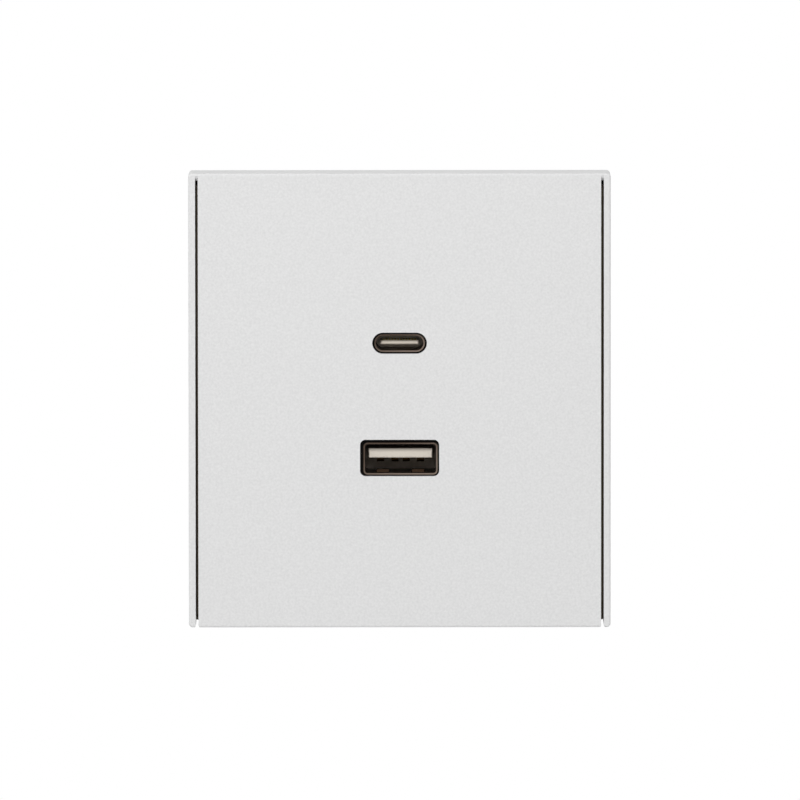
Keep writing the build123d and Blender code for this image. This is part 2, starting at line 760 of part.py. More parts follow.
with BuildPart() as usb_a_tongue:
    with BuildSketch(facing_room(port_board_y)):
        with Locations((usb_a_x, usb_a_z)):
            RectangleRounded(
                usb_a_width - 2 * shell_wall - 2 * inner_fit,
                usb_a_height - 2 * shell_wall - 2 * inner_fit,
                usb_a_radius - shell_wall,
            )
    extrude(amount=port_board_y - usb_a_back_y)
    with BuildSketch(facing_room(usb_a_back_y)):
        with Locations((usb_a_x, usb_a_tongue_z)):
            Rectangle(usb_a_tongue_width, usb_a_tongue_height)
    extrude(amount=usb_a_back_y - usb_a_tip_y)
    chamfer(usb_a_tongue.faces().sort_by(Axis.Y)[0].edges().sort_by(Axis.Z)[-1], usb_a_tongue_slope)
    chamfer(usb_a_tongue.faces().sort_by(Axis.Y)[0].edges().sort_by(Axis.Z)[:-1], usb_a_tongue_chamfer)
save(usb_a_tongue, "usb_a_tongue")

contact_line_z = usb_a_tongue_z - usb_a_tongue_height / 2 - usb_a_contact_thickness / 2
bump_y = usb_a_tip_y + usb_a_bump_recess
with BuildPart() as usb_a_contacts:
    for spot in usb_a_contact_spots:
        with BuildSketch(Plane.YZ.offset(usb_a_x + spot - usb_a_contact_width / 2)):
            with BuildLine():
                FilletPolyline(
                    (usb_a_back_y, contact_line_z),
                    (bump_y + usb_a_bump_run, contact_line_z),
                    (bump_y, contact_line_z - usb_a_contact_drop),
                    (bump_y - usb_a_bump_run / 2, contact_line_z - usb_a_contact_thickness),
                    radius=usb_a_contact_bend,
                )
            trace(line_width=usb_a_contact_thickness)
        extrude(amount=usb_a_contact_width)
save(usb_a_contacts, "usb_a_contacts")

# Transformer: two ferrite halves round a bobbin that stands on the power board
core_y = power_board_y - transformer_lift
with BuildPart() as transformer_core:
    with BuildSketch(facing_room(core_y + core_depth / 2)):
        with Locations((0, transformer_z)):
            Rectangle(core_width, core_height)
            window_width = (core_width - core_centre_leg) / 2 - core_leg
            with GridLocations(core_centre_leg + window_width, 0, 2, 1):
                Rectangle(window_width, core_height - 2 * core_leg, mode=Mode.SUBTRACT)
    extrude(amount=core_depth)
    split(bisect_by=Plane.XY.offset(transformer_z), keep=Keep.BOTH)
save(transformer_core, "transformer_core")

bobbin_length = core_height - 2 * core_leg - 2 * inner_fit
bobbin_hole_width = core_centre_leg + 2 * inner_fit
bobbin_hole_depth = core_depth + 2 * inner_fit
with BuildPart() as transformer_bobbin:
    with BuildSketch(Plane.XY.offset(transformer_z - bobbin_length / 2)):
        with Locations((0, core_y)):
            Rectangle(bobbin_hole_width + 2 * bobbin_wall, bobbin_hole_depth + 2 * bobbin_wall)
    extrude(amount=bobbin_length)
    flange_base_y = core_y - bobbin_size / 2
    for flange_z in (transformer_z - bobbin_length / 2, transformer_z + bobbin_length / 2 - bobbin_flange):
        with BuildSketch(Plane.XY.offset(flange_z)):
            with Locations((0, flange_base_y)):
                Rectangle(bobbin_size, power_board_y - flange_base_y, align=(Align.CENTER, Align.MIN))
        extrude(amount=bobbin_flange)
    with BuildSketch(Plane.XY.offset(transformer_z - bobbin_length / 2)):
        with Locations((0, core_y)):
            Rectangle(bobbin_hole_width, bobbin_hole_depth)
    extrude(amount=bobbin_length, mode=Mode.SUBTRACT)
save(transformer_bobbin, "transformer_bobbin")

winding_length = bobbin_length - 2 * bobbin_flange - 2 * inner_fit
with BuildPart() as transformer_winding:
    with BuildSketch(Plane.XY.offset(transformer_z - winding_length / 2)):
        with Locations((0, core_y)):
            RectangleRounded(winding_size, winding_size, winding_radius)
            Rectangle(
                bobbin_hole_width + 2 * bobbin_wall + 2 * inner_fit,
                bobbin_hole_depth + 2 * bobbin_wall + 2 * inner_fit,
                mode=Mode.SUBTRACT,
            )
    extrude(amount=winding_length)
save(transformer_winding, "transformer_winding")

# Capacitors, choke, fuse and chips on the power board
with BuildPart() as bulk_capacitors:
    with BuildSketch(facing_room(power_board_y)):
        with Locations((bulk_capacitor_x, capacitor_z)):
            with GridLocations(0, 2 * bulk_capacitor_radius + capacitor_gap, 1, 2):
                Circle(bulk_capacitor_radius)
    extrude(amount=bulk_capacitor_length)
    chamfer(bulk_capacitors.faces().group_by(Axis.Y)[0].edges(), capacitor_edge)
save(bulk_capacitors, "bulk_capacitors")

with BuildPart() as output_capacitors:
    with BuildSketch(facing_room(power_board_y)):
        with Locations((output_capacitor_x, capacitor_z)):
            with GridLocations(0, 2 * output_capacitor_radius + capacitor_gap, 1, 2):
                Circle(output_capacitor_radius)
    extrude(amount=output_capacitor_length)
    chamfer(output_capacitors.faces().group_by(Axis.Y)[0].edges(), capacitor_edge)
save(output_capacitors, "output_capacitors")

with BuildPart() as line_choke:
    with BuildSketch(facing_room(power_board_y)):
        with Locations((choke_x, choke_z)):
            Circle(choke_radius)
    extrude(amount=choke_length)
    chamfer(line_choke.faces().sort_by(Axis.Y)[0].edges(), capacitor_edge)
save(line_choke, "line_choke")

with BuildPart() as fuse:
    with BuildSketch(facing_room(power_board_y)):
        with Locations((fuse_x, fuse_z)):
            RectangleRounded(fuse_width, fuse_height, fuse_corner_radius)
    extrude(amount=fuse_length)
save(fuse, "fuse")

with BuildPart() as safety_capacitor:
    with BuildSketch(Plane.YZ.offset(safety_disc_x - safety_disc_thickness / 2)):
        with Locations((power_board_y - safety_disc_radius, safety_disc_z)):
            Circle(safety_disc_radius)
    extrude(amount=safety_disc_thickness)
    chamfer(safety_capacitor.edges().filter_by(GeomType.CIRCLE), safety_disc_edge)
save(safety_capacitor, "safety_capacitor")

with BuildPart() as bridge_rectifier:
    with BuildSketch(facing_room(power_board_rear_y)):
        with Locations((rectifier_x, transformer_z)):
            Rectangle(rectifier_width, rectifier_height)
    extrude(amount=-chip_height)
    chamfer(bridge_rectifier.faces().sort_by(Axis.Y)[-1].edges(), chip_chamfer)
save(bridge_rectifier, "bridge_rectifier")

with BuildPart() as power_controller:
    with BuildSketch(facing_room(power_board_rear_y)):
        with Locations((0, transformer_z)):
            Rectangle(controller_width, controller_height)
    extrude(amount=-chip_height)
    chamfer(power_controller.faces().sort_by(Axis.Y)[-1].edges(), chip_chamfer)
save(power_controller, "power_controller")

with BuildPart() as charge_controller:
    with BuildSketch(facing_room(port_board_rear_y)):
        with Locations((0, usb_c_z), (0, usb_a_opening_z)):
            Rectangle(charge_chip_size, charge_chip_size)
    extrude(amount=-chip_height)
    chamfer(charge_controller.faces().group_by(Axis.Y)[-1].edges(), chip_chamfer)
save(charge_controller, "charge_controller")

# Pins that link the two boards
with BuildPart() as link_pins:
    with BuildSketch(facing_room(power_board_rear_y)):
        with Locations((0, link_z)):
            with GridLocations(link_pitch, 0, link_count, 1):
                Rectangle(link_pin, link_pin)
    extrude(amount=power_board_rear_y - port_board_y)
save(link_pins, "link_pins")

with BuildPart() as link_strip_body:
    with BuildSketch(facing_room(power_board_y)):
        with Locations((0, link_z)):
            Rectangle(link_pitch * link_count, link_strip)
            with GridLocations(link_pitch, 0, link_count, 1):
                Rectangle(link_pin + 2 * thread_gap, link_pin + 2 * thread_gap, mode=Mode.SUBTRACT)
    extrude(amount=link_strip)
save(link_strip_body, "link_strip")

# Terminal block: two chambers that open towards the boards, wire funnels and button slots at the rear
chamber_width = block_width / 2 - 2 * pole_wall
chamber_x = pole_wall + chamber_width / 2
wire_bore_z = block_z + wire_z
button_centre_z = block_z + button_z
with BuildPart() as terminal_block:
    with BuildSketch(facing_room(block_rear_y)):
        with Locations((0, block_z)):
            Rectangle(block_width, block_height)
    extrude(amount=block_depth)
    with BuildSketch(facing_room(module_floor_y - block_gap)):
        with Locations((0, block_z)):
            Rectangle(block_width + 2 * block_shoulder, block_height + block_shoulder)
    extrude(amount=block_shoulder_depth)
    with BuildSketch(facing_room(pole_rear_y)):
        with Locations((0, (pole_top_z + pole_bottom_z) / 2)):
            with GridLocations(2 * chamber_x, 0, 2, 1):
                Rectangle(chamber_width, pole_top_z - pole_bottom_z)
    extrude(amount=pole_rear_y - block_front_y, mode=Mode.SUBTRACT)
    with BuildSketch(facing_room(block_rear_y)):
        with Locations((0, wire_bore_z)):
            with GridLocations(2 * wire_x, 0, 2, 1):
                Circle(wire_radius)
        with Locations((0, button_centre_z)):
            with GridLocations(2 * button_x, 0, 2, 1):
                Rectangle(button_width + 2 * button_gap, button_height + 2 * button_gap)
    extrude(amount=pole_rear_wall, mode=Mode.SUBTRACT)
    for side in (-1, 1):
        with Locations(Plane(origin=(side * wire_x, block_rear_y, wire_bore_z), z_dir=(0, -1, 0))):
            Cone(
                wire_funnel_radius,
                wire_radius,
                wire_funnel_depth,
                align=(Align.CENTER, Align.CENTER, Align.MIN),
                mode=Mode.SUBTRACT,
            )
    # slots in the roof for the tabs of the contact bars
    with BuildSketch(Plane.XY.offset(pole_top_z)):
        with Locations((0, block_front_y)):
            with GridLocations(2 * wire_x, 0, 2, 1):
                Rectangle(
                    contact_tab_width + 2 * block_gap,
                    contact_tab_y + contact_bar_thickness + block_gap,
                    align=(Align.CENTER, Align.MIN),
                )
    extrude(amount=pole_roof, mode=Mode.SUBTRACT)
save(terminal_block, "terminal_block")

tab_y = block_front_y + contact_tab_y
bar_bottom_z = pole_top_z - contact_bar_thickness
tab_top_z = power_board_bottom + contact_tab_width
spring_width = chamber_width - 2 * spring_side_gap
button_collar_y = pole_rear_y - button_rest_gap
button_rear_y = block_rear_y + button_proud
for pole, side in (("live", -1), ("neutral", 1)):
    # contact bar under the roof, with a tab that rises in front of the power board and turns back to it
    with BuildPart() as contact_bar:
        with BuildSketch(Plane.XY.offset(bar_bottom_z)):
            with Locations((side * wire_x, tab_y)):
                Rectangle(contact_bar_width, pole_rear_y - tab_y - block_gap, align=(Align.CENTER, Align.MIN))
        extrude(amount=contact_bar_thickness)
        with BuildSketch(Plane.YZ.offset(side * wire_x - contact_tab_width / 2)):
            with BuildLine():
                Polyline(
                    (tab_y, bar_bottom_z),
                    (tab_y, tab_top_z),
                    (power_board_y, tab_top_z),
                    (power_board_y, tab_top_z - contact_bar_thickness),
                    (tab_y + contact_bar_thickness, tab_top_z - contact_bar_thickness),
                    (tab_y + contact_bar_thickness, bar_bottom_z),
                    close=True,
                )
            make_face()
        extrude(amount=contact_tab_width)
    save(contact_bar, f"contact_bar_{pole}")

    # clamp spring: a leg on the floor, a bend, and an arm that leans under the contact bar
    floor_line_z = pole_bottom_z + spring_thickness / 2 + inner_fit
    with BuildPart() as clamp_spring:
        with BuildSketch(Plane.YZ.offset(side * chamber_x - spring_width / 2)):
            with BuildLine():
                FilletPolyline(
                    (block_front_y + spring_leg_gap, floor_line_z),
                    (pole_rear_y - spring_bend_gap, floor_line_z),
                    (block_front_y + spring_tip_gap, bar_bottom_z - spring_thickness),
                    radius=spring_bend,
                )
            trace(line_width=spring_thickness)
        extrude(amount=spring_width)
    save(clamp_spring, f"clamp_spring_{pole}")

    # release button: shaft, collar that keeps it in, and a nose that opens the clamp spring
    with BuildPart() as release_button:
        with BuildSketch(facing_room(button_rear_y)):
            with Locations((side * button_x, button_centre_z)):
                Rectangle(button_width, button_height)
        extrude(amount=button_rear_y - button_collar_y)
        chamfer(release_button.faces().sort_by(Axis.Y)[-1].edges(), button_chamfer)
        with BuildSketch(facing_room(button_collar_y)):
            with Locations((side * button_x, button_centre_z)):
                Rectangle(button_width + 2 * button_collar, button_height + 2 * button_collar)
        extrude(amount=button_collar_depth)
        with BuildSketch(facing_room(button_collar_y - button_collar_depth)):
            with Locations((side * button_x, button_centre_z - button_nose_drop)):
                Rectangle(button_width, button_nose_height)
        extrude(amount=button_nose_depth)
        with BuildSketch(facing_room(button_rear_y)):
            with Locations((side * button_x, button_centre_z)):
                Rectangle(button_groove_length, button_groove_width)
        extrude(amount=button_groove_depth, mode=Mode.SUBTRACT)
    save(release_button, f"release_button_{pole}")
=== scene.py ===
"""Finishes, small moulded details and studio of a flush wall socket with a USB-C and a USB-A port.

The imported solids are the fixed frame: x to the right seen from the room, y into the wall, z up.
Lengths are in metres unless a name says otherwise.
"""

import json
import math

import bpy
from bpy.props import FloatProperty, FloatVectorProperty, IntProperty, PointerProperty
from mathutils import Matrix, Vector


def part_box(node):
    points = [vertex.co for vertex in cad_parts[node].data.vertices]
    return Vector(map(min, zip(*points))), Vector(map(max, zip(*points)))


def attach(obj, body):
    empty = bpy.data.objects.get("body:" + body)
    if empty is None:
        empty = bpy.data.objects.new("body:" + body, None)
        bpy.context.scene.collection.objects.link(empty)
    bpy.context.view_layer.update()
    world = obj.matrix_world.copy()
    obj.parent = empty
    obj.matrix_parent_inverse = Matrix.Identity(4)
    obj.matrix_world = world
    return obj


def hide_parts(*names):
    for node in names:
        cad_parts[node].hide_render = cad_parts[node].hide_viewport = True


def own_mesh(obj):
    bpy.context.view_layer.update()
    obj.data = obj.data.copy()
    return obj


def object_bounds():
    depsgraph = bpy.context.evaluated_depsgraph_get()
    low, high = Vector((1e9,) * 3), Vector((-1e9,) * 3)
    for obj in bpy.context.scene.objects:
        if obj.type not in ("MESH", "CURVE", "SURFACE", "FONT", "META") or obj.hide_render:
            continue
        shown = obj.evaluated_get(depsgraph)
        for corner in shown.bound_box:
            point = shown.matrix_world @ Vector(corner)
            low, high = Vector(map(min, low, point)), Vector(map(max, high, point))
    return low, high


bl_info = {
    "name": "USB Wall Socket",
    "version": (1, 0, 0),
    "blender": (4, 5, 0),
    "location": "View3D > Sidebar > Socket",
    "description": "Finishes, moulded details and studio of a flush wall socket with two USB ports",
    "category": "Object",
}

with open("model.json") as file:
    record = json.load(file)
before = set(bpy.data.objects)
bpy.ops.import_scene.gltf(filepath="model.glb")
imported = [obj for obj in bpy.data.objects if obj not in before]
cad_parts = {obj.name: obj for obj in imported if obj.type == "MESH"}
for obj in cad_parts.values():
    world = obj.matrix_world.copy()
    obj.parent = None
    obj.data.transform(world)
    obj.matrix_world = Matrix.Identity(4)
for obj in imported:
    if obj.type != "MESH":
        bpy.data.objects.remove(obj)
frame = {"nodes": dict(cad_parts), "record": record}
cad_low, cad_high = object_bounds()

MM = 0.001
SOCKET_BODY = "socket"

# Sockets of the Mix node in its colour mode, and the two that it mixes as plain numbers
MIX_FACTOR, MIX_A, MIX_B, MIX_COLOUR = 0, 6, 7, 2
MIX_PLAIN_A, MIX_PLAIN_B = 2, 3

# Width of one band of the Wave texture at a scale of one
WAVE_BAND = math.tau / 20

# Rolled metal: the scale of its pattern along the lines, which draws them out, the change of gloss
# across them, their depth, and how many of them make up the width of one cloud
LINE_SCALE_ALONG = 0.04
LINE_GLOSS = 0.08
LINE_DEPTH = 0.01 * MM
CLOUD_LINES = 40

# Change of gloss across the grain of a moulding
GRAIN_GLOSS = 0.06

# Points that are closer together are one point, and flatter edges are shaded smooth
MERGE_DISTANCE = 0.001 * MM
SMOOTH_ANGLE = math.radians(35)

# Letters of the two poles
POLES = {"live": "L", "neutral": "N"}

WHITE = (1.0, 1.0, 1.0, 1.0)

# Side light: it sets in and is full where a direction points sideways by these shares
SIDE_LIGHT_START, SIDE_LIGHT_FULL = 0.65, 0.95

# Floor: the grey of its paper, its white in the middle as a share of that at the rim, and its corners
PAPER_GREY = 0.85
PAPER_GLOW = 0.25
FLOOR_CORNERS = 96


def linear(code):
    """sRGB hex colour as linear red, green and blue."""
    parts = [int(code[i : i + 2], 16) / 255 for i in (1, 3, 5)]
    return tuple(p / 12.92 if p <= 0.04045 else ((p + 0.055) / 1.055) ** 2.4 for p in parts)


def colour_property(name, code, description):
    """A colour that a user can change, given as an sRGB hex value."""
    return FloatVectorProperty(
        name=name,
        description=description,
        subtype="COLOR",
        size=3,
        min=0.0,
        max=1.0,
        default=linear(code),
    )


def length_property(name, millimetres, description):
    """A length that a user can change, given in millimetres and kept in metres."""
    return FloatProperty(
        name=name,
        description=description,
        unit="LENGTH",
        precision=5,
        default=millimetres * MM,
    )


class SocketColours(bpy.types.PropertyGroup):
    """Colours of the pieces."""

    cover: colour_property("Cover", "#dddddd", "Light grey of the moulded cover")
    base: colour_property("Base frame", "#5a5044", "Dark brown of the ring behind the cover")
    housing: colour_property("Housing", "#12100f", "Black of the charger module")
    support: colour_property("Support", "#b9b8b2", "Zinc plating of the support and screws")
    # Port rims: the lighter lip of the shells, a painted highlight that is strongest on the lower right and
    # weakest on the upper left, where it is painted shade
    rim: colour_property("Port rims", "#897b70", "Nickel that plugs have rubbed bright at the mouth")
    # Port shells: a dark brown that is painted shade inside the two ports, darker than the nickel itself
    shell: colour_property("Port shells", "#3d2f24", "Dull nickel plating inside the two ports")
    tongue_c: colour_property("USB-C tongue", "#fdf3e3", "Cream of the tongue in the USB-C port")
    tongue_a: colour_property("USB-A tongue", "#d7cfc3", "Cream of the tongue in the USB-A port")
    contact_c: colour_property("USB-C contacts", "#f6dc9c", "Gold plating on the USB-C contacts")
    # USB-A contacts: a dark brown that is painted shade under the tongue, darker than gold flash itself
    contact_a_shaded: colour_property("USB-A contacts", "#5c4729", "Thin gold flash on the USB-A contacts")
    laminate: colour_property("Boards", "#1f5a35", "Green solder mask of the boards")
    ferrite: colour_property("Ferrite", "#3b3a3c", "Dark grey of the transformer core")
    bobbin: colour_property("Bobbin", "#3a2a20", "Brown of the phenolic bobbin")
    tape: colour_property("Winding tape", "#d9a93c", "Amber of the tape round the winding")
    sleeve: colour_property("Capacitor sleeves", "#22304f", "Dark blue of the shrunk sleeves")
    aluminium: colour_property("Capacitor cans", "#c9cacb", "Drawn aluminium of the capacitor cans")
    epoxy: colour_property("Dipped epoxy", "#2b63a8", "Blue of the dipped safety capacitor")
    heat_shrink: colour_property("Choke sleeve", "#1d1d1f", "Black of the choke, the chips and the strip")
    fuse: colour_property("Fuse case", "#4b4438", "Brown of the fuse's case")
    terminal: colour_property("Terminal block", "#b6b7b4", "Grey of the terminal block")
    button: colour_property("Release buttons", "#d9741f", "Orange of the release buttons")
    copper: colour_property("Contact bars", "#b98a63", "Tinned copper of the contact bars")
    spring: colour_property("Clamp springs", "#a3a29e", "Stainless steel of the clamp springs")


class SocketGrain(bpy.types.PropertyGroup):
    """Sizes of the surface textures; the grain behind the cover is coarser than real, so that it shows."""

    cover_grain: length_property("Cover grain", 0.42, "Width of one grain on the cover and the buttons")
    cover_relief: length_property("Cover relief", 0.03, "Height of the cover's moulded texture")
    housing_grain: length_property("Housing grain", 0.8, "Width of one grain behind the cover")
    housing_relief: length_property("Housing relief", 0.1, "Height of the texture behind the cover")
    roll_line: length_property("Roll line", 0.25, "Spacing of the lines that rolling leaves on metal")
    weave: length_property("Weave", 0.5, "Spacing of the glass threads in a board")
    tape_turn: length_property("Tape turn", 4.0, "Width of one turn of the winding's tape")


class SocketDetails(bpy.types.PropertyGroup):
    """Sizes of the small pieces that are added to the solids."""

    mark_height: length_property("Mark height", 2.4, "Height of the raised pole letters")
    mark_relief: length_property("Mark relief", 0.25, "How far the pole letters stand out")
    mark_drop: length_property("Mark drop", 4.9, "From the middle of a wire hole down to its letter")
    spring_keep: FloatProperty(
        name="Spring keep",
        description="Share of its height that a clamp spring keeps under its pressed button",
        min=0.05,
        max=1.0,
        default=0.5,
    )
    thread_pitch: length_property("Thread pitch", 0.5, "Rise of the screw thread in one turn")
    thread_height: length_property("Thread height", 0.18, "How far the thread stands out of the shank")
    thread_turns: IntProperty(
        name="Thread turns",
        description="Turns behind the support",
        min=1,
        default=2,
    )
    thread_steps: IntProperty(
        name="Thread steps",
        description="Straight steps in one turn",
        min=8,
        default=28,
    )


class SocketStage(bpy.types.PropertyGroup):
    """Camera, floor and light."""

    camera_distance: length_property("Camera distance", 2600.0, "From the camera to the cover's face")
    frame_width: length_property("Frame width", 140.6, "Width of the picture at the cover's face")
    aim_x: length_property("Aim across", 0.07, "How far right of the cover's middle the camera aims")
    aim_z: length_property("Aim up", 0.12, "How far above the cover's middle the camera aims")
    elevation: FloatProperty(
        name="Elevation",
        description="How far the camera looks down",
        unit="ROTATION",
        default=math.radians(4.8),
    )
    roll: FloatProperty(
        name="Roll",
        description="Turn of the camera about its own line of sight",
        unit="ROTATION",
        default=math.radians(-0.045),
    )
    floor_height: length_property("Floor height", -300.0, "Such a socket sits about 30 cm above the floor")
    floor_radius: length_property("Floor radius", 600.0, "Radius of the round floor")
    floor_bounce: FloatProperty(
        name="Floor bounce",
        description="Share of its white at which the floor lights the underside",
        min=0.0,
        max=1.0,
        default=0.4,
    )
    ambient: FloatProperty(
        name="Ambient",
        description="Strength of the even light from above, below and behind",
        min=0.0,
        default=0.38,
    )
    ambient_ahead: FloatProperty(
        name="Ambient ahead",
        description="Strength of the even light from straight in front of the cover",
        min=0.0,
        default=0.03,
    )
    ambient_sides: FloatProperty(
        name="Ambient sides",
        description="Strength of the even light from left and right",
        min=0.0,
        default=0.95,
    )
    ahead_angle: FloatProperty(
        name="Ahead angle",
        description="How far from straight in front the even light is back at its full strength",
        unit="ROTATION",
        default=math.radians(45),
    )
    key_distance: length_property("Key distance", 840.0, "From the soft light to the cover's face")
    key_size: length_property("Key size", 500.0, "Diameter of the soft light")
    key_direction: FloatVectorProperty(
        name="Key direction",
        description="From the cover's face towards the soft light: in front, above, a little to the left",
        subtype="DIRECTION",
        size=3,
        default=(-0.15, -0.75, 0.58),
    )
    key_power: FloatProperty(
        name="Key power",
        description="Power of the soft light",
        unit="POWER",
        min=0.0,
        default=4.8,
    )


def add_node(owner, kind, values=None, links=None, feeds=None, **properties):
    """Add a node to a material or world: settings, constants, what links into it and what it feeds."""
    tree = owner.node_tree
    node = tree.nodes.new(kind)
    for key, value in properties.items():
        setattr(node, key, value)
    for key, value in (values or {}).items():
        node.inputs[key].default_value = value
    for key, source in (links or {}).items():
        tree.links.new(source, node.inputs[key])
    for key, target in (feeds or {}).items():
        tree.links.new(node.outputs[key], target)
    return node


def start_material(name, **sockets):
    """A material and its Principled shader; sockets are its constants, with _ for a space in a name."""
    material = bpy.data.materials.new(name)
    material.use_nodes = True
    shader = material.node_tree.nodes["Principled BSDF"]
    for key, value in sockets.items():
        shader.inputs[key.replace("_", " ")].default_value = value
    return material, shader


def shade(colour, share):
    """A colour made darker or lighter by a share, with alpha."""
    return (*(min(1.0, c * share) for c in colour), 1.0)


def palette(context):
    """The colours and the texture sizes that a user can change."""
    return context.scene.socket_colours, context.scene.socket_grain


def dress(material, *nodes):
    """Put a material on CAD nodes by name."""
    for name in nodes:
        for slot in frame["nodes"][name].material_slots:
            slot.material = material


def grained(name, colour, roughness, grain, relief, mottle=0.04, stretch=(1, 1, 1), **sockets):
    """A surface with an even grain along which its tone, its gloss and its height change together.

    A grain is longer along an axis whose stretch is small, as where a moulding compound flowed.
    """
    material, shader = start_material(name, **sockets)
    place = add_node(material, "ShaderNodeTexCoord").outputs["Object"]
    drawn_out = add_node(
        material,
        "ShaderNodeMapping",
        values={"Scale": stretch},
        links={"Vector": place},
    )
    spots = add_node(
        material,
        "ShaderNodeTexNoise",
        values={"Scale": 1 / grain, "Detail": 2.0, "Roughness": 0.55},
        links={"Vector": drawn_out.outputs["Vector"]},
    ).outputs["Fac"]
    add_node(
        material,
        "ShaderNodeMix",
        data_type="RGBA",
        values={MIX_A: shade(colour, 1 - mottle), MIX_B: shade(colour, 1 + mottle)},
        links={MIX_FACTOR: spots},
        feeds={MIX_COLOUR: shader.inputs["Base Color"]},
    )
    add_node(
        material,
        "ShaderNodeMapRange",
        values={"To Min": roughness - GRAIN_GLOSS, "To Max": roughness + GRAIN_GLOSS},
        links={"Value": spots},
        feeds={"Result": shader.inputs["Roughness"]},
    )
    add_node(
        material,
        "ShaderNodeBump",
        values={"Strength": 0.4, "Distance": relief},
        links={"Height": spots},
        feeds={"Normal": shader.inputs["Normal"]},
    )
    return material


def roll_lines(material, shader, place, roughness, line, along):
    """Add the fine lines of rolling, which spread a reflection across them; gives back their noise."""
    drawn_out = add_node(
        material,
        "ShaderNodeMapping",
        values={"Scale": [LINE_SCALE_ALONG if axis == along else 1.0 for axis in "xyz"]},
        links={"Vector": place},
    )
    lines = add_node(
        material,
        "ShaderNodeTexNoise",
        values={"Scale": 1 / line, "Detail": 3.0, "Roughness": 0.55},
        links={"Vector": drawn_out.outputs["Vector"]},
    ).outputs["Fac"]
    add_node(
        material,
        "ShaderNodeMapRange",
        values={"To Min": roughness - LINE_GLOSS, "To Max": roughness + LINE_GLOSS},
        links={"Value": lines},
        feeds={"Result": shader.inputs["Roughness"]},
    )
    add_node(
        material,
        "ShaderNodeBump",
        values={"Strength": 0.25, "Distance": LINE_DEPTH},
        links={"Height": lines},
        feeds={"Normal": shader.inputs["Normal"]},
    )
    return lines


def rolled(name, colour, roughness, line, along):
    """Rolled or drawn metal, whose tone changes across its lines and in wide clouds."""
    material, shader = start_material(name, Metallic=1.0)
    place = add_node(material, "ShaderNodeTexCoord").outputs["Object"]
    lines = roll_lines(material, shader, place, roughness, line, along)
    clouds = add_node(
        material,
        "ShaderNodeTexNoise",
        values={"Scale": 1 / (CLOUD_LINES * line), "Detail": 2.0},
        links={"Vector": place},
    ).outputs["Fac"]
    tone = add_node(
        material,
        "ShaderNodeMix",
        values={MIX_FACTOR: 0.5},
        links={MIX_PLAIN_A: lines, MIX_PLAIN_B: clouds},
    ).outputs["Result"]
    add_node(
        material,
        "ShaderNodeMix",
        data_type="RGBA",
        values={MIX_A: shade(colour, 0.72), MIX_B: shade(colour, 1.28)},
        links={MIX_FACTOR: tone},
        feeds={MIX_COLOUR: shader.inputs["Base Color"]},
    )
    return material


def cover_plastic(colours, grain):
    """Polycarbonate, moulded and matt: its fine grain breaks up the soft light on the face."""
    return grained(
        "polycarbonate_light_grey",
        colours.cover,
        roughness=0.55,
        grain=grain.cover_grain,
        relief=grain.cover_relief,
        mottle=0.12,
        IOR=1.52,
    )


def base_plastic(colours, grain):
    """Dark brown polycarbonate, so matt that it gives back hardly any light through the slits."""
    return grained(
        "polycarbonate_dark_brown",
        colours.base,
        roughness=0.65,
        grain=grain.housing_grain,
        relief=grain.housing_relief,
        mottle=0.35,
        IOR=1.52,
        Specular_IOR_Level=0.15,
    )


def housing_plastic(name, colours, grain, shine):
    """Polyamide filled with glass: black, its coarse grain drawn out the way the melt ran into the tool."""
    return grained(
        name,
        colours.housing,
        roughness=0.5,
        grain=grain.housing_grain,
        relief=grain.housing_relief,
        mottle=0.35,
        stretch=(1, 0.5, 1),
        IOR=1.53,
        Specular_IOR_Level=shine,
    )


def shell_steel(name, colours, grain, shell):
    """Nickel-plated steel, painted dark brown in the port as painted shade; its lip is lighter as a painted
    highlight, most of all on the lower right.
    """
    material, shader = start_material(name, Metallic=1.0)
    low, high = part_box(shell)
    size = high - low
    lip_end = low.y + 0.1 * MM
    # The lip is lighter than the inside as a painted highlight up to this depth
    lip_highlight_end = low.y + 0.5 * MM
    least_lip_highlight = 0.32
    place = add_node(material, "ShaderNodeTexCoord").outputs["Object"]
    roll_lines(material, shader, place, roughness=0.34, line=grain.roll_line / 2, along="y")
    from_middle = add_node(
        material,
        "ShaderNodeVectorMath",
        operation="SUBTRACT",
        values={1: (low + high) / 2},
        links={0: place},
    ).outputs["Vector"]
    down_right = add_node(
        material,
        "ShaderNodeVectorMath",
        operation="DOT_PRODUCT",
        values={1: (1 / size.x, 0.0, -1 / size.z)},
        links={0: from_middle},
    ).outputs["Value"]
    # Painted highlight on the lip: full on the lower right, down to its least share on the upper left,
    # which is painted shade
    lower_right_highlight = add_node(
        material,
        "ShaderNodeMapRange",
        values={"From Min": -0.5, "From Max": 0.5, "To Min": least_lip_highlight, "To Max": 1.0},
        links={"Value": down_right},
    ).outputs["Result"]
    depth = add_node(material, "ShaderNodeSeparateXYZ", links={"Vector": place}).outputs["Y"]
    painted_lip_highlight = add_node(
        material,
        "ShaderNodeMapRange",
        values={"From Min": lip_end, "From Max": lip_highlight_end, "To Max": 0.0},
        links={"Value": depth, "To Min": lower_right_highlight},
    ).outputs["Result"]
    # Dark brown inside as painted shade, going over to the rim colour at the lip as a painted highlight
    add_node(
        material,
        "ShaderNodeMix",
        data_type="RGBA",
        values={MIX_A: shade(colours.shell, 1.0), MIX_B: shade(colours.rim, 1.0)},
        links={MIX_FACTOR: painted_lip_highlight},
        feeds={MIX_COLOUR: shader.inputs["Base Color"]},
    )
    return material


def tongue_plastic(name, colour, shine):
    """Liquid crystal polymer: cream and silky, with faint flow streaks along the tongue."""
    return grained(
        name,
        colour,
        roughness=0.42,
        grain=0.3 * MM,
        relief=0.01 * MM,
        stretch=(1, 0.15, 1),
        IOR=1.65,
        Specular_IOR_Level=shine,
    )


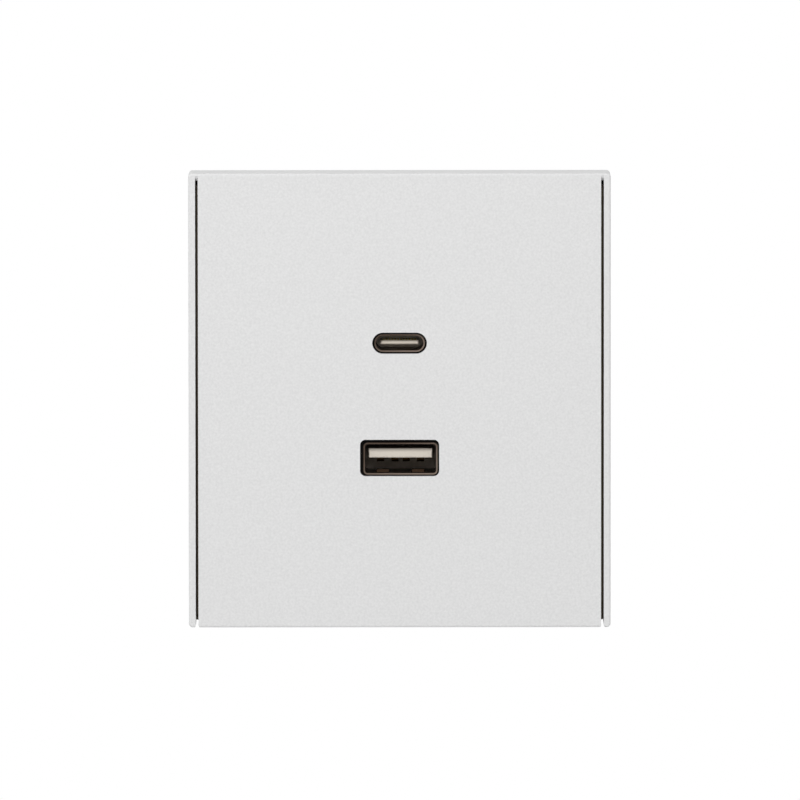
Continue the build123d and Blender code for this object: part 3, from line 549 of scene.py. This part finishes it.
def board_laminate(colours, grain):
    """Glass-fibre epoxy under a green solder mask: glossy, with the weave of the glass showing."""
    material, shader = start_material("glass_epoxy_green", IOR=1.55, Roughness=0.28, Coat_Weight=0.4)
    place = add_node(material, "ShaderNodeTexCoord").outputs["Object"]
    threads = [
        add_node(
            material,
            "ShaderNodeTexWave",
            bands_direction=axis,
            values={"Scale": WAVE_BAND / grain.weave, "Distortion": 0.6},
            links={"Vector": place},
        ).outputs["Fac"]
        for axis in "XZ"
    ]
    weave = add_node(
        material,
        "ShaderNodeMath",
        operation="MULTIPLY",
        links={0: threads[0], 1: threads[1]},
    ).outputs["Value"]
    add_node(
        material,
        "ShaderNodeMix",
        data_type="RGBA",
        values={MIX_A: shade(colours.laminate, 0.8), MIX_B: shade(colours.laminate, 1.25)},
        links={MIX_FACTOR: weave},
        feeds={MIX_COLOUR: shader.inputs["Base Color"]},
    )
    add_node(
        material,
        "ShaderNodeBump",
        values={"Strength": 0.2, "Distance": 0.02 * MM},
        links={"Height": weave},
        feeds={"Normal": shader.inputs["Normal"]},
    )
    return material


def winding_tape(colours, grain):
    """Polyester film wound in turns: amber and glossy, with a step at the edge of each turn."""
    material, shader = start_material("polyester_tape_amber", IOR=1.64, Roughness=0.22, Coat_Weight=0.3)
    place = add_node(material, "ShaderNodeTexCoord").outputs["Object"]
    turns = add_node(
        material,
        "ShaderNodeTexWave",
        bands_direction="Z",
        wave_profile="SAW",
        values={"Scale": WAVE_BAND / grain.tape_turn, "Distortion": 0.4},
        links={"Vector": place},
    ).outputs["Fac"]
    add_node(
        material,
        "ShaderNodeMix",
        data_type="RGBA",
        values={MIX_A: shade(colours.tape, 0.78), MIX_B: shade(colours.tape, 1.05)},
        links={MIX_FACTOR: turns},
        feeds={MIX_COLOUR: shader.inputs["Base Color"]},
    )
    add_node(
        material,
        "ShaderNodeBump",
        values={"Strength": 0.5, "Distance": 0.05 * MM},
        links={"Height": turns},
        feeds={"Normal": shader.inputs["Normal"]},
    )
    return material


def sleeved_can(colours, node):
    """Polyester sleeve shrunk over an aluminium can: glossy dark blue, bare metal at the vented end."""
    material, shader = start_material("polyester_sleeve_blue", IOR=1.57, Roughness=0.3)
    sleeve_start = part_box(node)[0].y + 0.5 * MM
    ripple = 1.5 * MM
    place = add_node(material, "ShaderNodeTexCoord").outputs["Object"]
    depth = add_node(material, "ShaderNodeSeparateXYZ", links={"Vector": place}).outputs["Y"]
    bare = add_node(
        material,
        "ShaderNodeMath",
        operation="LESS_THAN",
        values={1: sleeve_start},
        links={0: depth},
        feeds={"Value": shader.inputs["Metallic"]},
    ).outputs["Value"]
    add_node(
        material,
        "ShaderNodeMix",
        data_type="RGBA",
        values={MIX_A: shade(colours.sleeve, 1.0), MIX_B: shade(colours.aluminium, 1.0)},
        links={MIX_FACTOR: bare},
        feeds={MIX_COLOUR: shader.inputs["Base Color"]},
    )
    ripples = add_node(
        material,
        "ShaderNodeTexNoise",
        values={"Scale": 1 / ripple, "Detail": 1.0},
        links={"Vector": place},
    ).outputs["Fac"]
    add_node(
        material,
        "ShaderNodeBump",
        values={"Strength": 0.3, "Distance": 0.05 * MM},
        links={"Height": ripples},
        feeds={"Normal": shader.inputs["Normal"]},
    )
    return material


class SOCKET_OT_finish_cover(bpy.types.Operator):
    """Give the cover its grained light grey plastic."""

    bl_idname = "socket.finish_cover"
    bl_label = "Finish Cover"

    def execute(self, context):
        dress(cover_plastic(*palette(context)), "front_cover")
        return {"FINISHED"}


class SOCKET_OT_finish_base(bpy.types.Operator):
    """Give the base frame its dark plastic."""

    bl_idname = "socket.finish_base"
    bl_label = "Finish Base Frame"

    def execute(self, context):
        dress(base_plastic(*palette(context)), "base_frame")
        return {"FINISHED"}


class SOCKET_OT_finish_support(bpy.types.Operator):
    """Give the support and all screws their zinc plating."""

    bl_idname = "socket.finish_support"
    bl_label = "Finish Support and Screws"

    def execute(self, context):
        colours, grain = palette(context)
        # Zinc-plated steel: a pale, faintly warm grey metal, clouded, with rolling lines up and down
        # that are drawn coarser than on the thinner strips, so that they show
        zinc = rolled(
            "zinc_plated_steel",
            colours.support,
            roughness=0.36,
            line=3 * grain.roll_line,
            along="z",
        )
        screws = ("base_screws", "port_board_screws", "power_board_screws")
        dress(zinc, "mounting_support", *screws)
        return {"FINISHED"}


class SOCKET_OT_cut_threads(bpy.types.Operator):
    """Add the threads on the tips of the base screws, which stand out behind the support."""

    bl_idname = "socket.cut_threads"
    bl_label = "Cut Screw Threads"

    def execute(self, context):
        details = context.scene.socket_details
        screws = frame["nodes"]["base_screws"]
        tip_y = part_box("base_screws")[1].y
        end_depth = 0.01 * MM
        tips = [v.co for v in screws.data.vertices if v.co.y > tip_y - end_depth]
        rings = [
            [p for p in tips if p.x * side > 0 and p.z * level > 0]
            for side in (-1, 1)
            for level in (-1, 1)
        ]
        axes = [sum(ring, Vector()) / len(ring) for ring in rings]
        shank = max((p - axes[-1]).length for p in rings[-1])

        # one ridge: a triangle beside the axis, its point outwards, screwed along the axis;
        # with a radius of one it is 1.5 high and the square root of 3 wide
        tall, wide = 1.5, math.sqrt(3)
        ridge_height = 2 * details.thread_height
        ridge_width = 0.8 * details.thread_pitch
        sunk = details.thread_height / 3
        tip_gap = 0.6 * details.thread_pitch
        bpy.ops.object.select_all(action="DESELECT")
        bpy.ops.mesh.primitive_circle_add(vertices=3, radius=1.0, rotation=(0, 0, -math.pi / 2))
        ridge = context.object
        ridge.name = "base_screw_threads"
        bpy.ops.object.transform_apply(location=False, rotation=True, scale=False)
        bpy.ops.object.mode_set(mode="EDIT")
        bpy.ops.mesh.select_all(action="SELECT")
        bpy.ops.transform.resize(
            value=(ridge_height / tall, ridge_width / wide, 1.0),
            center_override=(0, 0, 0),
        )
        length = details.thread_turns * details.thread_pitch
        start = tip_y - length - tip_gap
        bpy.ops.transform.translate(value=(shank - sunk, start, 0))
        bpy.ops.object.mode_set(mode="OBJECT")
        winding = ridge.modifiers.new("winding", "SCREW")
        winding.axis = "Y"
        winding.screw_offset = details.thread_pitch
        winding.iterations = details.thread_turns
        winding.steps = details.thread_steps
        winding.render_steps = details.thread_steps
        bpy.ops.object.modifier_apply(modifier=winding.name)
        bpy.ops.object.mode_set(mode="EDIT")
        bpy.ops.mesh.select_all(action="SELECT")
        bpy.ops.mesh.remove_doubles(threshold=MERGE_DISTANCE)
        bpy.ops.mesh.fill_holes(sides=0)
        bpy.ops.mesh.normals_make_consistent(inside=False)
        bpy.ops.object.mode_set(mode="OBJECT")
        bpy.ops.object.shade_smooth_by_angle(angle=SMOOTH_ANGLE)

        # a copy on each screw, all one piece
        copies = [ridge]
        for axis in axes[1:]:
            bpy.ops.object.select_all(action="DESELECT")
            ridge.select_set(True)
            bpy.ops.object.duplicate()
            copy = context.object
            copy.location = (axis.x, 0, axis.z)
            copies.append(copy)
            context.view_layer.objects.active = ridge
        ridge.location = (axes[0].x, 0, axes[0].z)
        for copy in copies:
            copy.select_set(True)
        context.view_layer.objects.active = ridge
        bpy.ops.object.join()
        bpy.ops.object.transform_apply(location=True, rotation=True, scale=True)
        ridge.data.materials.append(screws.material_slots[0].material)
        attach(ridge, SOCKET_BODY)
        return {"FINISHED"}


class SOCKET_OT_finish_housing(bpy.types.Operator):
    """Give the charger module its black plastic: a dead matt front and a satin cup in the wall box."""

    bl_idname = "socket.finish_housing"
    bl_label = "Finish Housing"

    def execute(self, context):
        colours, grain = palette(context)
        dress(housing_plastic("polyamide_glass_filled_matt", colours, grain, shine=0.02), "module_front")
        dress(housing_plastic("polyamide_glass_filled_satin", colours, grain, shine=0.5), "module_rear")
        return {"FINISHED"}


class SOCKET_OT_finish_ports(bpy.types.Operator):
    """Give the two receptacles their plated shells, cream tongues and gold contacts."""

    bl_idname = "socket.finish_ports"
    bl_label = "Finish Ports"

    def execute(self, context):
        colours, grain = palette(context)
        contact_line = 0.2 * grain.roll_line
        # Gold-plated copper alloy: a soft yellow shine on both sides of the flat tongue
        gold = rolled(
            "gold_plated_copper",
            colours.contact_c,
            roughness=0.45,
            line=contact_line,
            along="y",
        )
        # Gold-flashed bronze, coloured a dull dark brown as painted shade for the shadow under the thick
        # tongue
        shaded_bronze = rolled(
            "gold_flashed_bronze",
            colours.contact_a_shaded,
            roughness=0.35,
            line=contact_line,
            along="y",
        )
        shells = {
            "usb_c_shell": "nickel_plated_steel_slim",
            "usb_a_shell": "nickel_plated_steel_wide",
        }
        for shell, name in shells.items():
            dress(shell_steel(name, colours, grain, shell), shell)
        ivory = tongue_plastic("liquid_crystal_polymer_ivory", colours.tongue_c, shine=0.5)
        cream = tongue_plastic("liquid_crystal_polymer_cream", colours.tongue_a, shine=0.05)
        dress(ivory, "usb_c_tongue")
        dress(cream, "usb_a_tongue")
        dress(gold, "usb_c_contacts", "link_pins")
        dress(shaded_bronze, "usb_a_contacts")
        return {"FINISHED"}


class SOCKET_OT_finish_boards(bpy.types.Operator):
    """Give the boards their laminate, the link between them its strip, and the chips their epoxy."""

    bl_idname = "socket.finish_boards"
    bl_label = "Finish Boards"

    def execute(self, context):
        colours, grain = palette(context)
        dress(board_laminate(colours, grain), "port_board", "power_board")
        # Polyester moulded round the pins: black, a little glossy
        strip = grained(
            "polyester_moulded_black",
            colours.heat_shrink,
            roughness=0.4,
            grain=0.4 * MM,
            relief=0.02 * MM,
            IOR=1.55,
        )
        dress(strip, "link_strip")
        # Epoxy moulding compound: charcoal black and dull, with specks of its silica filler
        chip = grained(
            "epoxy_compound_black",
            colours.heat_shrink,
            roughness=0.6,
            grain=0.15 * MM,
            relief=0.01 * MM,
            mottle=0.3,
            IOR=1.56,
        )
        dress(chip, "bridge_rectifier", "power_controller", "charge_controller")
        return {"FINISHED"}


class SOCKET_OT_finish_transformer(bpy.types.Operator):
    """Give the transformer its ferrite core, phenolic bobbin and taped winding."""

    bl_idname = "socket.finish_transformer"
    bl_label = "Finish Transformer"

    def execute(self, context):
        colours, grain = palette(context)
        # Sintered ferrite: a dark grey ceramic, dull and gritty
        ferrite = grained(
            "ferrite_sintered",
            colours.ferrite,
            roughness=0.62,
            grain=0.2 * MM,
            relief=0.02 * MM,
            mottle=0.2,
            IOR=2.0,
        )
        # Phenolic resin with wood flour: dark brown, faintly speckled, with a soft shine
        phenolic = grained(
            "phenolic_brown",
            colours.bobbin,
            roughness=0.4,
            grain=0.5 * MM,
            relief=0.01 * MM,
            mottle=0.2,
            IOR=1.6,
        )
        dress(ferrite, "transformer_core")
        dress(phenolic, "transformer_bobbin")
        dress(winding_tape(colours, grain), "transformer_winding")
        return {"FINISHED"}


class SOCKET_OT_finish_board_parts(bpy.types.Operator):
    """Give the capacitors, the choke and the fuse their sleeves, cans and cases."""

    bl_idname = "socket.finish_board_parts"
    bl_label = "Finish Board Parts"

    def execute(self, context):
        colours, grain = palette(context)
        dress(sleeved_can(colours, "bulk_capacitors"), "bulk_capacitors")
        # Drawn aluminium: bright, with lines along the can
        can = rolled(
            "aluminium_drawn",
            colours.aluminium,
            roughness=0.32,
            line=grain.roll_line,
            along="y",
        )
        dress(can, "output_capacitors")
        # Dipped epoxy: glossy blue, with the waves in which it ran and set
        epoxy = grained(
            "epoxy_dipped_blue",
            colours.epoxy,
            roughness=0.2,
            grain=1.6 * MM,
            relief=0.12 * MM,
            mottle=0.1,
            IOR=1.55,
        )
        dress(epoxy, "safety_capacitor")
        # Polyolefin heat-shrink: matt black, with creases along the choke
        shrink = grained(
            "polyolefin_heat_shrink",
            colours.heat_shrink,
            roughness=0.55,
            grain=0.5 * MM,
            relief=0.06 * MM,
            stretch=(1, 0.2, 1),
            IOR=1.5,
        )
        dress(shrink, "line_choke")
        # Polyphenylene sulphide: a dull brown case, speckled with its mineral filler
        case = grained(
            "polyphenylene_brown",
            colours.fuse,
            roughness=0.5,
            grain=0.25 * MM,
            relief=0.02 * MM,
            mottle=0.15,
            IOR=1.66,
        )
        dress(case, "fuse")
        return {"FINISHED"}


class SOCKET_OT_finish_terminals(bpy.types.Operator):
    """Give the terminals their grey block, copper bars, steel springs and orange buttons."""

    bl_idname = "socket.finish_terminals"
    bl_label = "Finish Terminals"

    def execute(self, context):
        colours, grain = palette(context)
        # Polyamide, unfilled: light grey and satin, with the coarse grain of the housing
        block = grained(
            "polyamide_grey",
            colours.terminal,
            roughness=0.45,
            grain=grain.housing_grain,
            relief=grain.housing_relief,
            IOR=1.53,
        )
        # Thermoplastic polyester: bright orange with a soft shine
        button = grained(
            "polyester_orange",
            colours.button,
            roughness=0.38,
            grain=grain.cover_grain,
            relief=0.02 * MM,
            IOR=1.55,
        )
        # Tinned copper: a warm metal with rolling lines front to back
        copper = rolled(
            "copper_tinned",
            colours.copper,
            roughness=0.34,
            line=grain.roll_line,
            along="y",
        )
        # Stainless spring steel: a bright grey metal with rolling lines from side to side
        steel = rolled(
            "stainless_spring_steel",
            colours.spring,
            roughness=0.28,
            line=grain.roll_line,
            along="x",
        )
        dress(block, "terminal_block")
        for pole in POLES:
            dress(copper, f"contact_bar_{pole}")
            dress(steel, f"clamp_spring_{pole}")
            dress(button, f"release_button_{pole}")
        return {"FINISHED"}


class SOCKET_OT_flex_springs(bpy.types.Operator):
    """Put a smooth-shaded copy of each clamp spring in its place, attached to the socket body; the copy
    keeps the spring's shape.
    """

    bl_idname = "socket.flex_springs"
    bl_label = "Flex Clamp Springs"

    def execute(self, context):
        for pole in POLES:
            stiff = f"clamp_spring_{pole}"
            bpy.ops.object.select_all(action="DESELECT")
            spring = bpy.data.objects.new(f"flexing_spring_{pole}", frame["nodes"][stiff].data.copy())
            context.collection.objects.link(spring)
            context.view_layer.objects.active = spring
            spring.select_set(True)
            bpy.ops.object.mode_set(mode="EDIT")
            bpy.ops.mesh.select_all(action="SELECT")
            bpy.ops.mesh.remove_doubles(threshold=MERGE_DISTANCE)
            bpy.ops.object.mode_set(mode="OBJECT")
            bpy.ops.object.shade_smooth_by_angle(angle=SMOOTH_ANGLE)
            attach(spring, SOCKET_BODY)
            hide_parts(stiff)
            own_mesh(spring)
        return {"FINISHED"}


class SOCKET_OT_mark_poles(bpy.types.Operator):
    """Add the raised letters under the wire holes: L for live, N for neutral."""

    bl_idname = "socket.mark_poles"
    bl_label = "Mark Poles"

    def execute(self, context):
        details = context.scene.socket_details
        block = frame["nodes"]["terminal_block"]
        rear_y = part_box("terminal_block")[1].y
        holes = {m["name"]: Vector(m["pos_m"]) for m in frame["record"]["mounts"]}
        half_depth = details.mark_relief / 2
        rooted = 0.1 * details.mark_relief
        rounding = 0.15 * details.mark_relief
        bolder = 0.04 * details.mark_height
        font_size = 1.4 * details.mark_height
        for pole, letter in POLES.items():
            hole = holes[f"terminal_{pole}"]
            bpy.ops.object.select_all(action="DESELECT")
            bpy.ops.object.text_add(
                location=(hole.x, rear_y + half_depth - rooted, hole.z - details.mark_drop),
                rotation=(math.pi / 2, 0, math.pi),
            )
            mark = context.object
            mark.name = f"pole_mark_{pole}"
            mark.data.body = letter
            mark.data.size = font_size
            mark.data.align_x = "CENTER"
            mark.data.align_y = "CENTER"
            mark.data.offset = bolder
            mark.data.bevel_depth = rounding
            mark.data.bevel_resolution = 1
            mark.data.extrude = half_depth - rounding
            bpy.ops.object.convert(target="MESH")
            mark = context.object
            bpy.ops.object.transform_apply(location=True, rotation=True, scale=True)
            bpy.ops.object.mode_set(mode="EDIT")
            bpy.ops.mesh.select_all(action="SELECT")
            bpy.ops.mesh.remove_doubles(threshold=MERGE_DISTANCE)
            bpy.ops.mesh.normals_make_consistent(inside=False)
            bpy.ops.object.mode_set(mode="OBJECT")
            mark.data.materials.clear()
            mark.data.materials.append(block.material_slots[0].material)
            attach(mark, SOCKET_BODY)
        return {"FINISHED"}


def seen_rays(owner):
    """One where a ray comes from the camera, a reflection or a refraction; nought where it only lights."""
    path = add_node(owner, "ShaderNodeLightPath")
    seen = path.outputs["Is Camera Ray"]
    for ray in ("Is Glossy Ray", "Is Transmission Ray"):
        seen = add_node(
            owner,
            "ShaderNodeMath",
            operation="MAXIMUM",
            links={0: seen, 1: path.outputs[ray]},
        ).outputs["Value"]
    return seen


def set_camera(context, stage, face):
    """Aim a long lens at the cover's face from a little above."""
    back = Vector((0.0, -math.cos(stage.elevation), math.sin(stage.elevation)))
    bpy.ops.object.camera_add(
        location=face + Vector((stage.aim_x, 0.0, stage.aim_z)) + back * stage.camera_distance,
        rotation=(math.pi / 2 - stage.elevation, 0.0, 0.0),
    )
    camera = context.object
    camera.rotation_euler.rotate_axis("Z", stage.roll)
    camera.data.lens = camera.data.sensor_width * stage.camera_distance / stage.frame_width
    camera.data.clip_end = 4 * stage.camera_distance
    context.scene.camera = camera


def light_world(context, stage):
    """Even white all round, at full strength where it is seen.

    Where it only lights it is dimmer: strongest from left and right, and least from straight in front
    of the cover, so that the ports stay dark inside.
    """
    world = bpy.data.worlds.new("studio_light")
    world.use_nodes = True
    context.scene.world = world
    sky = world.node_tree.nodes["Background"]
    sky.inputs["Color"].default_value = WHITE
    direction = add_node(world, "ShaderNodeTexCoord").outputs["Generated"]
    parts = add_node(world, "ShaderNodeSeparateXYZ", links={"Vector": direction}).outputs
    sideways = add_node(
        world,
        "ShaderNodeMath",
        operation="ABSOLUTE",
        links={0: parts["X"]},
    ).outputs["Value"]
    around = add_node(
        world,
        "ShaderNodeMapRange",
        values={
            "From Min": SIDE_LIGHT_START,
            "From Max": SIDE_LIGHT_FULL,
            "To Min": stage.ambient,
            "To Max": stage.ambient_sides,
        },
        links={"Value": sideways},
    ).outputs["Result"]
    lighting = add_node(
        world,
        "ShaderNodeMapRange",
        values={
            "From Min": -1.0,
            "From Max": -math.cos(stage.ahead_angle),
            "To Min": stage.ambient_ahead,
        },
        links={"Value": parts["Y"], "To Max": around},
    ).outputs["Result"]
    add_node(
        world,
        "ShaderNodeMapRange",
        values={"To Max": 1.0},
        links={"Value": seen_rays(world), "To Min": lighting},
        feeds={"Result": sky.inputs["Strength"]},
    )


def add_key_light(context, stage, face):
    """One soft light in front and above, a little to the left."""
    towards = Vector(stage.key_direction).normalized()
    bpy.ops.object.light_add(
        type="AREA",
        location=face + towards * stage.key_distance,
        rotation=towards.to_track_quat("Z", "Y").to_euler(),
    )
    key = context.object
    key.name = "key_light"
    key.data.shape = "DISK"
    key.data.size = stage.key_size
    key.data.energy = stage.key_power
    key.visible_camera = False


def lay_floor(context, stage):
    """A round floor: pale paper that keeps shadows and turns white towards its rim."""
    bpy.ops.mesh.primitive_circle_add(
        vertices=FLOOR_CORNERS,
        radius=stage.floor_radius,
        fill_type="NGON",
        location=(0.0, 0.0, stage.floor_height),
    )
    floor = context.object
    floor.name = "studio_floor"
    paper, shader = start_material("studio_paper", Roughness=0.9, Base_Color=shade(WHITE[:3], PAPER_GREY))
    place = add_node(paper, "ShaderNodeTexCoord").outputs["Object"]
    reach = add_node(
        paper,
        "ShaderNodeVectorMath",
        operation="LENGTH",
        links={0: place},
    ).outputs["Value"]
    glow = add_node(
        paper,
        "ShaderNodeMapRange",
        values={"From Max": stage.floor_radius, "To Min": PAPER_GLOW, "To Max": 1.0},
        links={"Value": reach},
    ).outputs["Result"]
    share = add_node(
        paper,
        "ShaderNodeMapRange",
        values={"To Min": stage.floor_bounce, "To Max": 1.0},
        links={"Value": seen_rays(paper)},
    ).outputs["Result"]
    add_node(
        paper,
        "ShaderNodeMath",
        operation="MULTIPLY",
        links={0: glow, 1: share},
        feeds={"Value": shader.inputs["Emission Strength"]},
    )
    shader.inputs["Emission Color"].default_value = WHITE
    floor.data.materials.append(paper)


class SOCKET_OT_build_stage(bpy.types.Operator):
    """Set up the camera, the light and the floor."""

    bl_idname = "socket.build_stage"
    bl_label = "Build Stage"

    def execute(self, context):
        stage = context.scene.socket_stage
        face = Vector((0.0, cad_low.y, (cad_low.z + cad_high.z) / 2))
        context.scene.view_settings.view_transform = "Standard"
        bpy.ops.object.select_all(action="DESELECT")
        set_camera(context, stage, face)
        light_world(context, stage)
        add_key_light(context, stage, face)
        lay_floor(context, stage)
        return {"FINISHED"}


class SOCKET_PT_panel(bpy.types.Panel):
    """Settings and steps of the wall socket."""

    bl_idname = "SOCKET_PT_panel"
    bl_label = "USB Wall Socket"
    bl_space_type = "VIEW_3D"
    bl_region_type = "UI"
    bl_category = "Socket"

    def draw(self, context):
        for group in SETTINGS:
            box = self.layout.box()
            for name in SETTINGS[group].__annotations__:
                box.prop(getattr(context.scene, group), name)
        for step in STEPS:
            self.layout.operator(step.bl_idname)


SETTINGS = {
    "socket_colours": SocketColours,
    "socket_grain": SocketGrain,
    "socket_details": SocketDetails,
    "socket_stage": SocketStage,
}
STEPS = (
    SOCKET_OT_finish_cover,
    SOCKET_OT_finish_base,
    SOCKET_OT_finish_support,
    SOCKET_OT_cut_threads,
    SOCKET_OT_finish_housing,
    SOCKET_OT_finish_ports,
    SOCKET_OT_finish_boards,
    SOCKET_OT_finish_transformer,
    SOCKET_OT_finish_board_parts,
    SOCKET_OT_finish_terminals,
    SOCKET_OT_flex_springs,
    SOCKET_OT_mark_poles,
    SOCKET_OT_build_stage,
)


def register():
    for settings in SETTINGS.values():
        bpy.utils.register_class(settings)
    for group, settings in SETTINGS.items():
        setattr(bpy.types.Scene, group, PointerProperty(type=settings))
    for step in STEPS:
        bpy.utils.register_class(step)
    bpy.utils.register_class(SOCKET_PT_panel)


def unregister():
    bpy.utils.unregister_class(SOCKET_PT_panel)
    for step in reversed(STEPS):
        bpy.utils.unregister_class(step)
    for group, settings in SETTINGS.items():
        delattr(bpy.types.Scene, group)
        bpy.utils.unregister_class(settings)


def main():
    register()
    for step in STEPS:
        family, name = step.bl_idname.split(".")
        getattr(getattr(bpy.ops, family), name)()


if __name__ == "__main__":
    main()
